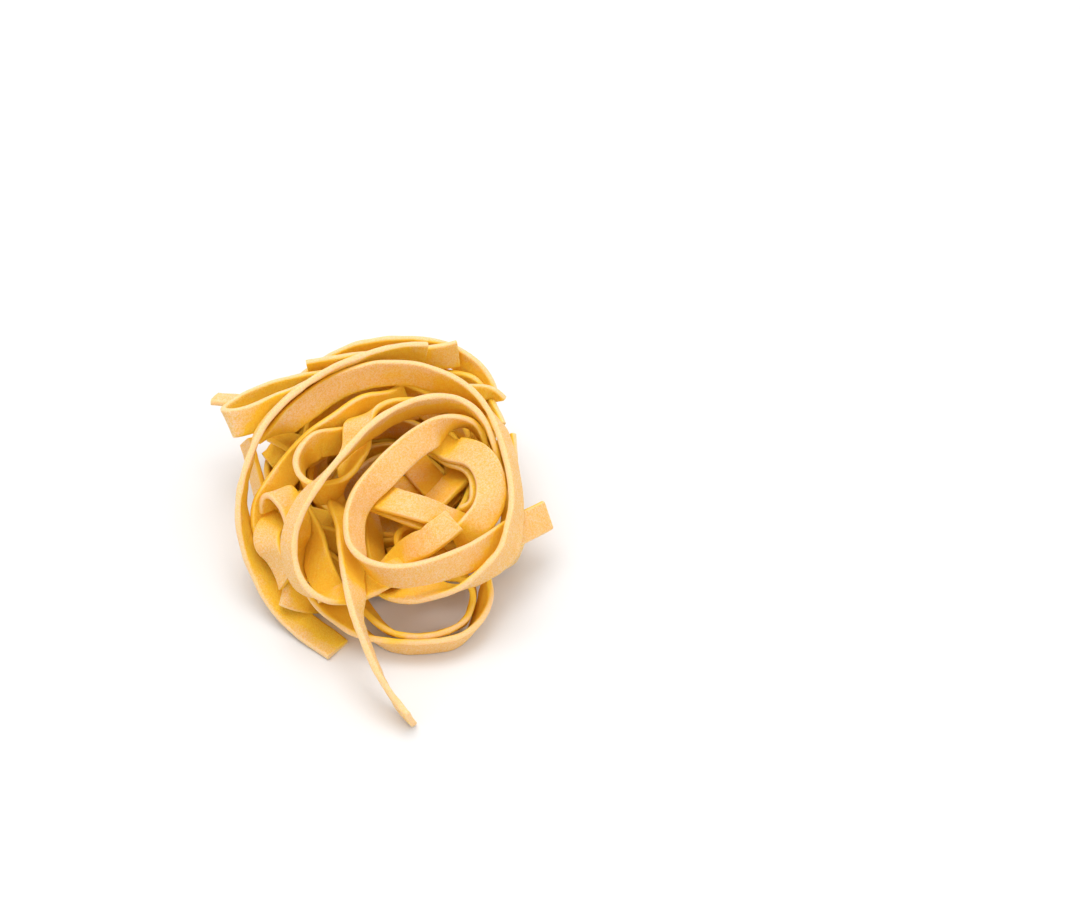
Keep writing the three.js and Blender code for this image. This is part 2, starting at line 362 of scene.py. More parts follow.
def nest_mesh(name, strands, seed):
    """One mesh of strands, each a grid closed round its section and capped at both ends. Attributes:
    cut_edge is 1 on cut edges and ends, tone is the strand's own shade, and strand_place is the
    point's place on the sheet of dough: along the strand, across it, and across the sheet, in metres."""
    rng = np.random.default_rng(seed)
    profile = strand_section()
    around = len(profile)
    ring = np.arange(around)
    onward = np.roll(ring, -1)
    points, quads, caps, cut, tones, places = [], [], [], [], [], []
    first = 0
    for strand in strands:
        rows = skin_strand(strand, rng)
        count = len(rows)
        grid = first + np.arange(count * around).reshape(count, around)
        low, high = grid[:-1], grid[1:]
        sides = np.stack([low[:, ring], high[:, ring], high[:, onward], low[:, onward]], -1)
        quads.append(sides.reshape(-1, 4))
        caps += [grid[0].tolist(), grid[-1, ::-1].tolist()]
        points.append(rows.reshape(-1, 3))
        edge = np.repeat(profile[None, :, 2], count, 0)
        edge[[0, -1]] = 1
        cut.append(edge.ravel())
        tones.append(np.full(edge.size, strand["tone"] + rng.normal(0, TONE_SPREAD)))
        run = np.arange(count)[:, None] * strand["spacing"] + rng.uniform(0, SHEET_LENGTH)
        place = np.broadcast_arrays(run, profile[None, :, 0] * STRAND_WIDTH, rng.uniform(0, SHEET_WIDTH))
        places.append(np.stack(place, -1).reshape(-1, 3))
        first += edge.size
    mesh = bpy.data.meshes.new(name)
    faces = np.concatenate(quads).tolist() + caps
    mesh.from_pydata(np.concatenate(points) * MM, [], faces)
    smooth = np.ones(len(faces), bool)
    smooth[len(faces) - len(caps) :] = False
    mesh.polygons.foreach_set("use_smooth", smooth)
    write_values(mesh, "cut_edge", np.concatenate(cut))
    write_values(mesh, "tone", np.concatenate(tones))
    place = (np.concatenate(places) * MM).astype(np.float32)
    mesh.attributes.new("strand_place", "FLOAT_VECTOR", "POINT").data.foreach_set("vector", place.ravel())
    mesh.update()
    return mesh


def strand_piece(name, strands, seed, material):
    """An object of strands, linked to the scene."""
    mesh = nest_mesh(name, strands, seed)
    mesh.materials.append(material)
    piece = bpy.data.objects.new(name, mesh)
    bpy.context.scene.collection.objects.link(piece)
    return piece


# The dough: coarse semolina and egg, rolled and dried. Its faces are mottled with opaque floury
# patches, fine grit and faint rolling streaks, and its cut edges are paler and smoother.
def noise(tree, vector, scale, detail, roughness):
    """Noise with so many grains to the metre."""
    node = tree.nodes.new("ShaderNodeTexNoise")
    node.inputs["Scale"].default_value = scale
    node.inputs["Detail"].default_value = detail
    node.inputs["Roughness"].default_value = roughness
    tree.links.new(vector, node.inputs["Vector"])
    return node.outputs["Fac"]


def spread(tree, value, low, high, to_low=0.0, to_high=1.0):
    """The value moved in proportion from the range low to high onto to_low to to_high, and kept in it."""
    node = tree.nodes.new("ShaderNodeMapRange")
    node.inputs["From Min"].default_value = low
    node.inputs["From Max"].default_value = high
    node.inputs["To Min"].default_value = to_low
    node.inputs["To Max"].default_value = to_high
    tree.links.new(value, node.inputs["Value"])
    return node.outputs["Result"]


def maths(tree, operation, a, b):
    """The sum, product and so on of two values, each a number or a socket."""
    node = tree.nodes.new("ShaderNodeMath")
    node.operation = operation
    for socket, value in zip(node.inputs, (a, b)):
        if isinstance(value, (int, float)):
            socket.default_value = value
        else:
            tree.links.new(value, socket)
    return node.outputs[0]


# Where Blender's Mix node keeps its two colours, and the colour that it gives.
MIX_COLOURS = (6, 7)
MIX_RESULT = 2


def blend_colour(tree, share, a, b, way="MIX"):
    """Colour a carried towards b, or towards a times b, by the share."""
    node = tree.nodes.new("ShaderNodeMix")
    node.data_type = "RGBA"
    node.blend_type = way
    tree.links.new(share, node.inputs["Factor"])
    for socket, colour in zip(MIX_COLOURS, (a, b)):
        if isinstance(colour, tuple):
            node.inputs[socket].default_value = (*colour, 1.0)
        else:
            tree.links.new(colour, node.inputs[socket])
    return node.outputs[MIX_RESULT]


# Grains of semolina are more golden than the flour between them.
GRIT_COLOUR = (0.97, 0.80, 0.28)
# Noise seldom leaves the first range, and mottle with this share of grit added the second. Each is
# spread to run from -1 to 1. Streaks are drawn out along the strand.
NOISE_RANGE = (0.3, 0.7)
SPECKLE_RANGE = (0.71, 0.99)
GRIT_SHARE = 0.7
STREAK_SCALE = (0.1, 1.0, 1.0)

dough_grain = bpy.data.node_groups.new("dough_grain", "ShaderNodeTree")
for label in ("Blotch", "Grit", "Streak", "Height"):
    dough_grain.interface.new_socket(label, in_out="OUTPUT", socket_type="NodeSocketFloat")
inlet = dough_grain.nodes.new("ShaderNodeTexCoord").outputs["Object"]
outlet = dough_grain.nodes.new("NodeGroupOutput")
blotch = noise(dough_grain, inlet, scale=260, detail=3, roughness=0.6)
mottle = noise(dough_grain, inlet, scale=2300, detail=2, roughness=0.6)
grit = noise(dough_grain, inlet, scale=5200, detail=1, roughness=0.5)
sheet_place = dough_grain.nodes.new("ShaderNodeAttribute")
sheet_place.attribute_name = "strand_place"
stretch = dough_grain.nodes.new("ShaderNodeMapping")
stretch.inputs["Scale"].default_value = STREAK_SCALE
dough_grain.links.new(sheet_place.outputs["Vector"], stretch.inputs["Vector"])
streak = noise(dough_grain, stretch.outputs["Vector"], scale=900, detail=2, roughness=0.5)
speckle = maths(dough_grain, "ADD", mottle, maths(dough_grain, "MULTIPLY", grit, GRIT_SHARE))
dough_grain.links.new(spread(dough_grain, blotch, *NOISE_RANGE, -1, 1), outlet.inputs["Blotch"])
dough_grain.links.new(spread(dough_grain, speckle, *SPECKLE_RANGE, -1, 1), outlet.inputs["Grit"])
dough_grain.links.new(spread(dough_grain, streak, *NOISE_RANGE, -1, 1), outlet.inputs["Streak"])
dough_grain.links.new(speckle, outlet.inputs["Height"])


def weighted(tree, value, weight, plus):
    """The value times its weight, plus another value."""
    return maths(tree, "ADD", maths(tree, "MULTIPLY", value, weight), plus)


# A strand of middling tone has its faces this far from the deep colour to the paler one. Tone,
# blotches and streaks, each from about -1 to 1, carry them on by these shares.
MIDDLING_SHARE = 0.7
TONE_SHARE = 0.3
BLOTCH_SHARE = 0.12
STREAK_SHARE = 0.06
# As a point's cover goes through these ranges, the painted shade tint comes in, and the grit fades
# to this share of itself.
PAINTED_SHADE_RANGE = (0.06, 0.3)
GRIT_FADE_RANGE = (0.1, 0.5)
GRIT_LEFT = 0.5
# The rim colour comes in towards a cut edge from this value of the attribute, up to this share.
RIM_START = 0.2
RIM_SHARE = 0.6
# On a face and on a cut edge.
ROUGHNESS = (0.72, 0.5)
BUMP_STRENGTH = (0.6, 0.2)


def dough(name, deep, face, rim, shade_tint):
    """Dry dough. Faces lie between deep and face, by blotches, streaks and the strand's own tone, and
    are speckled with grit; cut edges run into the rim colour and are smoother. Where strands cover
    the dough its grit shows less, and a painted shade tint makes it darker and more golden."""
    material = bpy.data.materials.new(name)
    material.use_nodes = True
    tree = material.node_tree
    shader = tree.nodes["Principled BSDF"]
    grain = tree.nodes.new("ShaderNodeGroup")
    grain.node_tree = dough_grain
    tone = tree.nodes.new("ShaderNodeAttribute")
    tone.attribute_name = "tone"
    edge = tree.nodes.new("ShaderNodeAttribute")
    edge.attribute_name = "cut_edge"
    shade_cover = tree.nodes.new("ShaderNodeAttribute")
    shade_cover.attribute_name = "painted_shade"
    # Painted shade: the grit shows less where other strands cover the dough.
    grit_out_of_shade = spread(tree, shade_cover.outputs["Fac"], *GRIT_FADE_RANGE, 1.0, GRIT_LEFT)
    speckle = maths(tree, "MULTIPLY", spread(tree, grain.outputs["Grit"], -1, 1), grit_out_of_shade)
    share = weighted(tree, tone.outputs["Fac"], TONE_SHARE, MIDDLING_SHARE)
    share = weighted(tree, grain.outputs["Blotch"], BLOTCH_SHARE, share)
    share = weighted(tree, grain.outputs["Streak"], STREAK_SHARE, share)
    surface = blend_colour(tree, share, deep, face)
    surface = blend_colour(tree, speckle, surface, GRIT_COLOUR, "MULTIPLY")
    brink = spread(tree, edge.outputs["Fac"], RIM_START, 1.0, 0.0, RIM_SHARE)
    surface = blend_colour(tree, brink, surface, rim)
    # Painted shade: covered dough is multiplied by a darker, more golden tint, as shade and bounced light.
    painted_shade_share = spread(tree, shade_cover.outputs["Fac"], *PAINTED_SHADE_RANGE)
    surface = blend_colour(tree, painted_shade_share, surface, shade_tint, "MULTIPLY")
    tree.links.new(surface, shader.inputs["Base Color"])
    tree.links.new(spread(tree, edge.outputs["Fac"], 0.0, 1.0, *ROUGHNESS), shader.inputs["Roughness"])
    bump = tree.nodes.new("ShaderNodeBump")
    bump.inputs["Distance"].default_value = 0.0003
    tree.links.new(spread(tree, edge.outputs["Fac"], 0.0, 1.0, *BUMP_STRENGTH), bump.inputs["Strength"])
    tree.links.new(grain.outputs["Height"], bump.inputs["Height"])
    tree.links.new(bump.outputs["Normal"], shader.inputs["Normal"])
    shader.inputs["Subsurface Weight"].default_value = 0.35
    shader.inputs["Subsurface Radius"].default_value = (1.0, 0.6, 0.15)
    shader.inputs["Subsurface Scale"].default_value = 0.002
    shader.inputs["Specular IOR Level"].default_value = 0.2
    return material


DEEP_COLOUR = (0.91, 0.475, 0.12)
FACE_COLOUR = (0.895, 0.64, 0.40)
RIM_COLOUR = (0.93, 0.62, 0.33)
# The painted shade tint, for dough that other strands cover.
PAINTED_SHADE_TINT = (1.03, 0.96, 0.15)
dry_dough = dough("dry_dough", DEEP_COLOUR, FACE_COLOUR, RIM_COLOUR, PAINTED_SHADE_TINT)

FACE_ROUTES = {
    "outer_loop": [
        (-12, -37.5, 1, 5, 3.5), (-23, -28.5, 2.5, 4.5, 4.5), (-30.5, -20, 9, 5.5, 2.5),
        (-34, -12, 18.5, 2.5, 0), (-33.7, -5, 25.5, 0.5, 0), (-30.7, 3, 31.5, 0, 0),
        (-25.5, 11, 36, -0.5, 0.5), (-18.5, 17.5, 38.5, 0, 0.5), (-9, 25, 39.5, 0.5, -1),
        (3, 32.5, 38.5, 1, -3.5), (11, 35, 37, 0.5, -4.5),
    ],
    "top_ring": [
        (-30.5, 8, 29, 0.5, 0), (-26, 11.5, 33, 3.5, -3),
        (-18.5, 19.5, 36, 3.5, -5), (-8, 26, 37.5, 1.5, -6), (4.5, 27.5, 38, 0, -6),
        (15, 25, 37, -2, -5), (23, 20, 34.5, -1.5, -2), (27.5, 12.5, 31.5, 1.5, 0.5),
        (30.5, 3, 28, 2, 0), (32, -8.5, 25.5, 2, 0),
        (31, -15.5, 24.5, 3.5, -0.8), (29, -22, 22.5, 3.5, -1.2), (25, -26.5, 20.5, 2, -2),
        (19.5, -30, 17.5, 0.5, 0.5), (14.5, -31.5, 16, 0, 4.5), (9.5, -32, 14.5, 0, 5.5),
        (5, -31, 14, 0, 5), (1, -29, 14, 0.5, 3), (-3, -25, 15, 0.5, 0.5),
        (-7.5, -15, 17.5, 0, 0), (-7, -5, 21, 0, 0),
        (-0.5, 5, 23.5, 0, 0),
    ],
    "inner_ring": [
        (29, -10, 10, 0, 0), (30.5, -3, 17, 0, 0), (29, 4, 24.5, 0, 0), (26.5, 11, 30, -1, -0.5),
        (21.5, 16.5, 34, -1.5, -3), (14, 17.5, 36, 0, -4), (7, 15, 36, 1, -3), (0, 9.5, 36, 1, -2),
        (-5.5, 1.5, 36, 0, -0.5), (-10.5, -6.5, 35, -0.5, 0.5), (-14.5, -13, 33, -2.5, 1),
        (-18, -19, 29, -3.5, 0.5), (-19, -24.5, 24, -3.5, -0.5), (-17, -30, 20, -2, -2),
        (-12.5, -33.5, 17.5, 0, 1.5), (-6.5, -34, 17, -0.5, 4), (1, -30.5, 17, -2, 5),
        (9, -24.5, 16, -2, 4.5), (18.5, -18, 15, -1.5, 3.5),
    ],
    "spiral_strand": [
        (25.5, 1, 16, 0, 0), (26, 8.5, 23, 0, 0), (24.5, 13.5, 28.5, -1.5, -1), (19.5, 14, 32, 0, -4),
        (13, 12, 33.5, 3, -6), (6, 6.5, 33, 4.5, -5.5), (-1, -2, 32, 5, -5), (-6, -10, 30, 4.5, -3),
        (-7.5, -18, 28, 3.5, 0), (-5.5, -26, 27, 0.5, 0.5), (0, -29.5, 26, -1, -4),
        (8, -30, 26, 0, -5.5), (16, -27, 26, 1.5, -5.5), (24, -20.5, 24.5, 2, -6),
        (31, -9.5, 20, 3.5, -6), (39.5, 0, 16.5, 3, -6.5),
    ],
    "loose_tail": [
        (-10.5, 2, 18.5, 4.5, 0), (-10.5, -9.5, 20, 4.5, 0), (-8.5, -24, 22, 2.8, 0.5),
        (-6, -37, 21.5, 1.2, 0.5), (-2.5, -45.5, 17, 0.2, 0.5), (2, -53, 11.5, -0.8, 0.5),
        (5.8, -56.8, 8, -1.5, 0), (8.2, -59.6, 6.3, -1.5, 0),
    ],
}
# Each coil's own shade.
FACE_TONES = {
    "outer_loop": 0.9,
    "top_ring": 0.2,
    "inner_ring": 0.2,
    "spiral_strand": 0.1,
    "loose_tail": 0.5,
}
coils = settle([route_strand(stops, FACE_TONES[name]) for name, stops in FACE_ROUTES.items()])
for seed, (name, strand) in enumerate(zip(FACE_ROUTES, coils), start=11):
    piece = strand_piece(name, [strand], seed, dry_dough)
    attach(piece, "root")
    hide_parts("nest")


# ---- Low loops ----
# The two lowest strands leave the coils at the front and lie on the table in open loops, one inside
# the other. They lean outwards like the wall of a bowl.

LOW_LOOP = [
    (-17, -26.5, 12.5, 2, 1), (-15.5, -28.5, 11, 1.5, 3), (-13, -30.5, 9, 1, 4.5),
    (-9.5, -33, 8, 1, 4.5), (-6, -35, 7, 0.5, 2), (2, -37, 7, 0, -2.5), (11.5, -37.5, 7, 0, -3),
    (20, -35.5, 7, 0, -2.5), (25.5, -30, 8, -3, -0.5), (27, -23, 9.5, -3.8, 1),
    (24, -15, 11, -3, 2), (14.5, -10.5, 10.5, 0.5, 1.5), (2, -12, 9.5, 1.5, 1.5),
]
LOW_LOOP_INNER = [
    (-7, -24.5, 8, 1, 1), (-1.5, -30.5, 7.5, 0, 0), (3.5, -34.5, 7, 0, -0.5),
    (11, -36, 7, 0, -0.5), (17.5, -34, 7, 0.3, 0), (21.5, -31, 7.5, 1.2, 0.6),
    (23.5, -27, 8.5, 0.8, 1), (23.5, -23.5, 9.5, -0.5, 1), (21.5, -21.5, 10.5, -1, 1.5),
    (18, -21, 11, -1, 2), (7.5, -20.5, 11.5, 0, 2),
]
low = settle([route_strand(LOW_LOOP), route_strand(LOW_LOOP_INNER)])
low_loops = strand_piece("low_loops", low, seed=23, material=dry_dough)
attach(low_loops, "root")
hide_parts("nest")


# ---- Inner strands ----
# Shorter lengths that were caught inside the coils as the nest was turned: a small loop, a crook
# in two layers, a cut end, bands that cross the open middle, and deeper strips below them.

INNER_ROUTES = {
    "small_loop": [
        (10, 22.5, 29.5, 0.5, -4.5), (4.5, 22, 30.5, 0, -5), (1.5, 21, 30.5, -1.5, -5.5),
        (-1, 18.5, 30.5, -4, -5), (-2, 15, 30, -6, -2.5), (-2, 11, 30, -6.5, -0.5),
        (-2, 6.5, 29.5, -6.5, 1), (-3.5, 2.5, 29, -5, 2.5), (-5.5, -1, 28.5, -2, 1.5),
        (-8, -4, 28, 1, -2), (-11.5, -5, 27.5, 0, -4.5), (-15.5, -5.5, 28, -0.5, -4.5),
        (-18, -4, 28, -1.5, -2), (-20, -1.5, 28.5, 0, 0), (-20.5, 2, 29.5, 1.5, 0),
        (-19.5, 5, 30.5, 3, -1), (-18, 7.5, 31, 4, -3), (-15.5, 10, 31, 3, -5),
        (-12, 12, 30.5, 2, -6), (-8.5, 14, 30, 1.5, -6), (-5.5, 16.5, 29, 2, -6),
    ],
    "crook": [
        (10.5, 10.5, 25.5, 2, 5.5), (13.5, 8, 25, 2.5, 5.5), (16, 6, 24.5, 3.5, 5.5),
        (18.5, 5, 24.5, 4, 5.2), (20.5, 4, 25, 5, 4.5), (22.5, 1.5, 25, 6.5, 3),
        (23.5, -2.5, 24.5, 7, 1), (23.5, -6, 24.5, 7, 0), (22.5, -9.5, 24, 6.5, -2),
        (21, -11.5, 24, 5.5, -4), (19.5, -14, 23.5, 3.5, -5), (16.5, -14, 22, 1.5, -5.5),
    ],
    "crook_under": [
        (10.5, 11, 22.5, 2, 5), (13.5, 8.5, 22.5, 2.5, 5.5), (16, 6, 22.5, 3.5, 5.5),
        (18, 5, 23, 4, 5), (20, 4, 23, 5, 4.5), (21.5, 2.5, 22.5, 6.5, 2.5),
        (22, -1, 22.5, 7, 0), (22, -4, 22.5, 6.5, -1.5), (21.5, -7, 22, 6, -3.5),
        (19, -9, 21, 4, -5),
    ],
    "centre_end": [
        (20.5, -17.5, 24.5, -3.1, 5.2), (16.5, -20, 22, -3.1, 5.2),
        (12.5, -22.5, 19.5, -3.1, 5.2), (7.5, -24.5, 15.5, -3.1, 5.2),
        (4.5, -26, 13.5, -3.1, 5.2),
    ],
    "cross_band": [
        (-6.5, -7, 24, 0.5, 6), (-1.5, -10, 24.5, 1, 6), (8, -14, 24.5, 2, 5.5),
        (17, -15, 21, 2, 4.6), (25.5, -14.5, 18, 1, 4),
    ],
    "cross_under": [
        (-4, -7, 21, 1, 6), (4, -11.5, 21.5, 2, 6), (10.5, -14, 20.5, 2.5, 5.5),
        (14.5, -14.5, 19, 2.5, 5.5),
    ],
}
DEEP_ROUTES = {
    "strip_a": [(25.5, 8.5, 20, -3.8, 2.7), (18.5, 0.5, 18.5, -3.8, 2.7), (12, -7, 16.5, -3.5, 3)],
    "strip_b": [(0, 17.5, 14, 5, 5), (5.5, 10.5, 14, 5, 5), (11.5, 2.5, 14, 5, 5), (15.5, -1.5, 13, 5, 5)],
    "strip_c": [(-3, 5.5, 11, 2, 6.5), (3, 5, 11, 2, 6.5), (14, 1.5, 10, 2, 6.5)],
    "deep_a": [(-6.5, 1.5, 15, 3.4, -1), (-5, -4.5, 14.5, 3, -0.5), (-2.5, -16.5, 12, 3.4, 0.5)],
    "deep_b": [(-5.5, 2.5, 1, 0, 5.2), (0.5, 2.2, 1, 0, 5.2), (6.5, 3, 1, 0, 5.2)],
    "deep_c": [(8, -11, 13, -1, -4.5), (0.5, -13.5, 12, -2, -4.5), (-3.5, -15.5, 11, -2, -4.5)],
    "hook": [
        (10, -8, 16.5, 1, -2), (7.5, -9, 16.5, 1.5, -1.5), (5.5, -11, 16, 2, -1),
        (5, -13, 15.5, 2, 0), (5, -15, 15, 2, 0.5), (6.5, -17.5, 14, 1, 1),
    ],
}
inner = [route_strand(stops) for stops in INNER_ROUTES.values()]
# The deep strips take the darkest tone, painted shade for their place low inside the nest.
deep = [route_strand(stops, tone=-1.0) for stops in DEEP_ROUTES.values()]
inside = settle(inner + deep)
inner_strands = strand_piece("inner_strands", inside, seed=37, material=dry_dough)
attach(inner_strands, "root")
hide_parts("nest")


# ---- Left strands ----
# Where the coils open on the left, strands stand behind one another: a wall inside the outer loop,
# a folded lip, a curl, and the ends and short lengths below them.

LEFT_ROUTES = {
    "left_wall": [
        (4.5, 26.5, 31.5, 2, -6), (-3, 22, 32, 2, -6), (-9, 17.5, 31, 3, -5.5),
        (-15.5, 14, 29.5, 2.5, -4.5), (-21.5, 9.5, 26.5, 4.5, -3.5), (-26.5, 2.5, 24.5, 5.5, -2.5),
        (-30, -3.5, 22, 6, -2), (-31, -8.5, 18, 6.5, 0), (-29.5, -13, 13, 6, 2),
    ],
    "left_fold": [
        (-29, -7.5, 20, 6, 0), (-29, -6.5, 23.5, 6.5, 0.5), (-27.5, -6.5, 25.5, 7, 1),
        (-25, -9, 25.5, 6, 1), (-23, -11.5, 24, 5.5, 0.5), (-22, -14.5, 22, 5, 0),
        (-22, -17.5, 19.5, 4.5, -0.5), (-21.5, -20.5, 16.5, 4, -1), (-19.5, -24, 13.5, 3, -2),
    ],
    "left_curl": [
        (-21, -9, 17, -3, 3), (-23, -12.5, 19, -4, 2), (-23.5, -17, 20, -4.5, 0),
        (-22.8, -19.5, 19.5, -3.5, -1), (-21.5, -22, 18.5, -2.6, -1.5), (-20.3, -24.5, 17.3, -2, -1.5),
    ],
    "low_left": [
        (-23, -17, 7, 0, -7), (-23.5, -18.5, 9, 0, -7), (-24, -20, 10.5, 0, -7),
        (-23, -21, 11.5, 0, -7), (-20.5, -21, 11, 0, -7), (-17.5, -20.5, 9.5, 0, -7),
        (-15, -19.5, 8, 0, -7), (-12, -18.5, 6.5, 0, -7),
    ],
    "inner_wall": [
        (-19, -1.5, 22, -6, -1.5), (-16.5, -7.5, 21, -6.5, -1.5), (-12.5, -17.5, 17.5, -6.5, -2),
        (-8, -26, 12, -6.5, -2),
    ],
    "wall_back": [(-20.5, -6, 13, 0, 5.5), (-14.5, -8, 13, -0.5, 5.5), (-8, -10, 13, -0.5, 5.5)],
    "left_bit_a": [(-28.8, 16, 22, 1.5, 2.5), (-22, 12.5, 20, 2, 4), (-18, 9.5, 19, 2, 4)],
    "left_bit_b": [(-27.3, 11, 17, -1, 4.5), (-24.3, 13, 18, -2, 4.5), (-21.3, 16.5, 18.5, -2.5, 4.5)],
    "left_strip": [(-33.5, 19, 19.5, -3, -1), (-31.5, 13.5, 15.5, -3, -1), (-29, 6.5, 10.5, -3, -1.5)],
}
left = settle([route_strand(stops, tone=0.2) for stops in LEFT_ROUTES.values()])
left_strands = strand_piece("left_strands", left, seed=41, material=dry_dough)
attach(left_strands, "root")
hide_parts("nest")


# ---- Back and side strands ----
# Strands that stand out behind the coils: a hairpin fold at the left, cut ends, two bands along
# the back, and a strand outside the coils on the right.

BACK_ROUTES = {
    "back_fold": [
        (-11.5, 32, 31, 0, -5), (-21, 29.5, 31.5, 0.5, -5.5), (-30, 26.5, 31, 1.5, -6),
        (-34, 24, 31, 2, -6.5), (-37, 21, 31, 2.5, -6.5), (-39, 18.5, 31.5, 3, -6.5),
        (-39, 15.5, 33, 3, -6.5), (-37, 14, 34.5, 2, -7), (-33, 14.5, 34.5, 1, -7),
        (-29, 16.5, 35, 1, -7), (-22.5, 20.5, 35, 2, -6.5), (-15, 27, 34, 1.5, -6.5),
        (-10.5, 30.5, 33, 1.5, -6.5),
    ],
    "back_end": [(-43.5, 26, 25, 1, 2), (-33, 25, 25, 0.5, 2.5), (-18.5, 28.5, 24, 0.5, 2.5)],
    "back_band": [
        (-19.5, 32.5, 33, 0.5, -4.2), (-6, 34.5, 34, 0.5, -4.2), (2.5, 35, 34, 0.5, -4.5),
        (10, 36, 34, 1, -4.5), (18, 40, 33.5, 1, -5.5),
    ],
    "top_band": [
        (-27, 31, 21, 0, -5), (-24, 34, 24, 0, -5), (-18.5, 36.5, 28, 0.5, -5.5),
        (-11, 38.5, 32, 0.5, -4.5), (-4, 40, 33.5, 0, -4), (6, 41, 33.5, 0, -4),
        (16.5, 40, 32, -1.5, -5), (25.5, 35, 28, -3, -4.5), (28, 30.5, 25, -3.5, -3),
    ],
    "top_tab": [
        (13, 30, 28, -1, -5.5), (16.5, 29.5, 28, -0.5, -6.5), (24, 30, 27, -1, -6.5),
        (27, 29.5, 26.5, -2, -6.5), (29.5, 27, 25.5, -3.5, -5.5),
    ],
    "back_inner": [
        (2, 36.5, 28.5, 0, -5), (10, 36.5, 28.5, 0, -5), (17, 36, 28, -0.5, -5),
        (23, 33, 27, -1.5, -5), (27.5, 27, 26, -3, -4.5), (30, 20, 24, -4, -3),
    ],
    "right_strand": [
        (32.8, 17, 23, -5, -1), (33.3, 10, 20, -5, 0), (34.2, 1.5, 15.5, -5, 0),
        (34.2, -3, 13, -5, 1.5), (33.8, -7.5, 10, -5, 3),
    ],
    "right_bit": [
        (34.5, -6.5, 9, -1, -4), (31.5, -10.5, 10, -1.5, -3.5), (28, -11.5, 11, -1, -2),
    ],
}
back = settle([route_strand(stops, tone=0.9) for stops in BACK_ROUTES.values()])
back_strands = strand_piece("back_strands", back, seed=53, material=dry_dough)
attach(back_strands, "root")
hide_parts("nest")


# ---- Core coils ----
# The turns wound first, under and behind the rest. Each is a long strand on edge that goes between
# half and one and a third times round the middle, and climbs and wanders as it goes.

CORE_SPACING = 1.2
CORE_TONE = -0.2
CORE_MIDDLE = (0.0, 11.0, 0.0)
STATIONS_A_TURN = 90
# Over this length each end of a core strand turns in among the others.
TUCK_LENGTH = 12.0
# The slow sines that make a core strand uneven, each a size and how many waves it has a turn. Wobble
# and heave are in millimetres, lean in radians.
WOBBLE = [(0.9, 2.3), (0.5, 4.1)]
HEAVE = [(0.8, 1.7)]
LEAN = [(0.2, 1.3), (0.15, 3.7)]


def slow_sines(terms, angle, rng):
    """The sum of size x sine of (waves x angle + a random phase) over the terms."""
    return sum(size * np.sin(waves * angle + rng.uniform(0, 2 * np.pi)) for size, waves in terms)


def core_strand(start, turns, half_width, half_depth, height, back_rise, side_rise, tuck, seed):
    """A wound strand. It goes round the middle on an oval that is tilted by its two rises; slow
    sines are added to the oval and the height, and to the lean of the standing strand. Its ends
    turn inwards by the tuck."""
    rng = np.random.default_rng(seed)
    angle = np.radians(start) + np.linspace(0, 2 * np.pi * turns, int(STATIONS_A_TURN * turns))
    run = (angle - angle[0]) * half_width
    ends = np.exp(-run / TUCK_LENGTH) + np.exp((run - run[-1]) / TUCK_LENGTH)
    wobble = slow_sines(WOBBLE, angle, rng) - tuck * ends
    x = (half_width + wobble) * np.cos(angle)
    y = (half_depth + wobble) * np.sin(angle)
    z = height + back_rise * y + side_rise * x + slow_sines(HEAVE, angle, rng)
    lean = slow_sines(LEAN, angle, rng)
    near = np.column_stack([x, y, z]) + CORE_MIDDLE
    out = np.column_stack([np.cos(angle), np.sin(angle), np.zeros_like(angle)])
    wide = np.sin(lean)[:, None] * out - np.cos(lean)[:, None] * np.array([0, 0, 1])
    walked = running_sum(steps_between(near))
    even = np.arange(0, walked[-1], CORE_SPACING)
    near, wide = read_off(near, walked, even), read_off(wide, walked, even)
    return {"near": near, "wide": wide, "spacing": CORE_SPACING, "tone": CORE_TONE}


# Each row is a strand: its start in degrees from the right, turns, half width, half depth, height,
# rise to the back, rise to the right, and tuck.
CORE_ROUNDS = [
    (-110, 0.92, 24.4, 23.2, 8.2, 0.0, 0.0, 2),
    (-35, 0.80, 26.6, 25.2, 11.8, 0.02, 0.09, 3),
    (120, 0.62, 28.6, 27.0, 14.0, 0.04, -0.12, 3),
    (15, 0.62, 26.8, 25.6, 17.5, 0.12, 0.10, 4),
    (-12, 0.55, 28.6, 27.2, 19.5, 0.20, -0.04, 3),
    (60, 1.25, 21.0, 20.0, 8.0, 0.0, 0.0, 4),
    (150, 1.20, 22.6, 21.6, 13.5, 0.10, 0.05, 4),
    (-62, 0.86, 24.4, 22.8, 19.5, 0.20, -0.03, 3),
    (80, 1.30, 16.8, 15.8, 8.5, 0.0, 0.03, 3),
    (-45, 0.78, 18.8, 17.8, 14.5, 0.12, -0.05, 3),
    (-40, 0.70, 12.5, 12, 9.0, 0.03, 0.0, 2),
]
core = [core_strand(*row, seed) for seed, row in enumerate(CORE_ROUNDS)]
settle(core, give=5.0, hold=0.995)
core_coils = strand_piece("core_coils", core, seed=61, material=dry_dough)
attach(core_coils, "root")
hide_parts("nest")


# ---- Painted shade ----
# Dough that other strands cover is painted darker and more golden, as shade and light bounced
# between strands. An attribute of every strand piece holds how covered each point is, from 0 to 1.

SHELTER_CELL = 1.0
SHELTER_REACH = 16
SHELTER_START = 2.0
SHELTER_STEP = 0.9
# A strand that a ray meets at the end of its reach counts less than a near one, by this share.
SHELTER_FADE = 0.2
SHELTER_EDGE = 2
SHELTER_MARGIN = SHELTER_REACH + 2 * SHELTER_EDGE

dough_points = np.concatenate(laid_points)
corner = dough_points.min(0) - SHELTER_MARGIN
cells = np.ceil((dough_points.max(0) + SHELTER_MARGIN - corner) / SHELTER_CELL).astype(int)
filled = np.zeros(cells, bool)
filled[tuple(((dough_points - corner) / SHELTER_CELL).astype(int).T)] = True
inset = SHELTER_MARGIN - SHELTER_EDGE
middle_cells = tuple(slice(inset, n - inset) for n in cells)
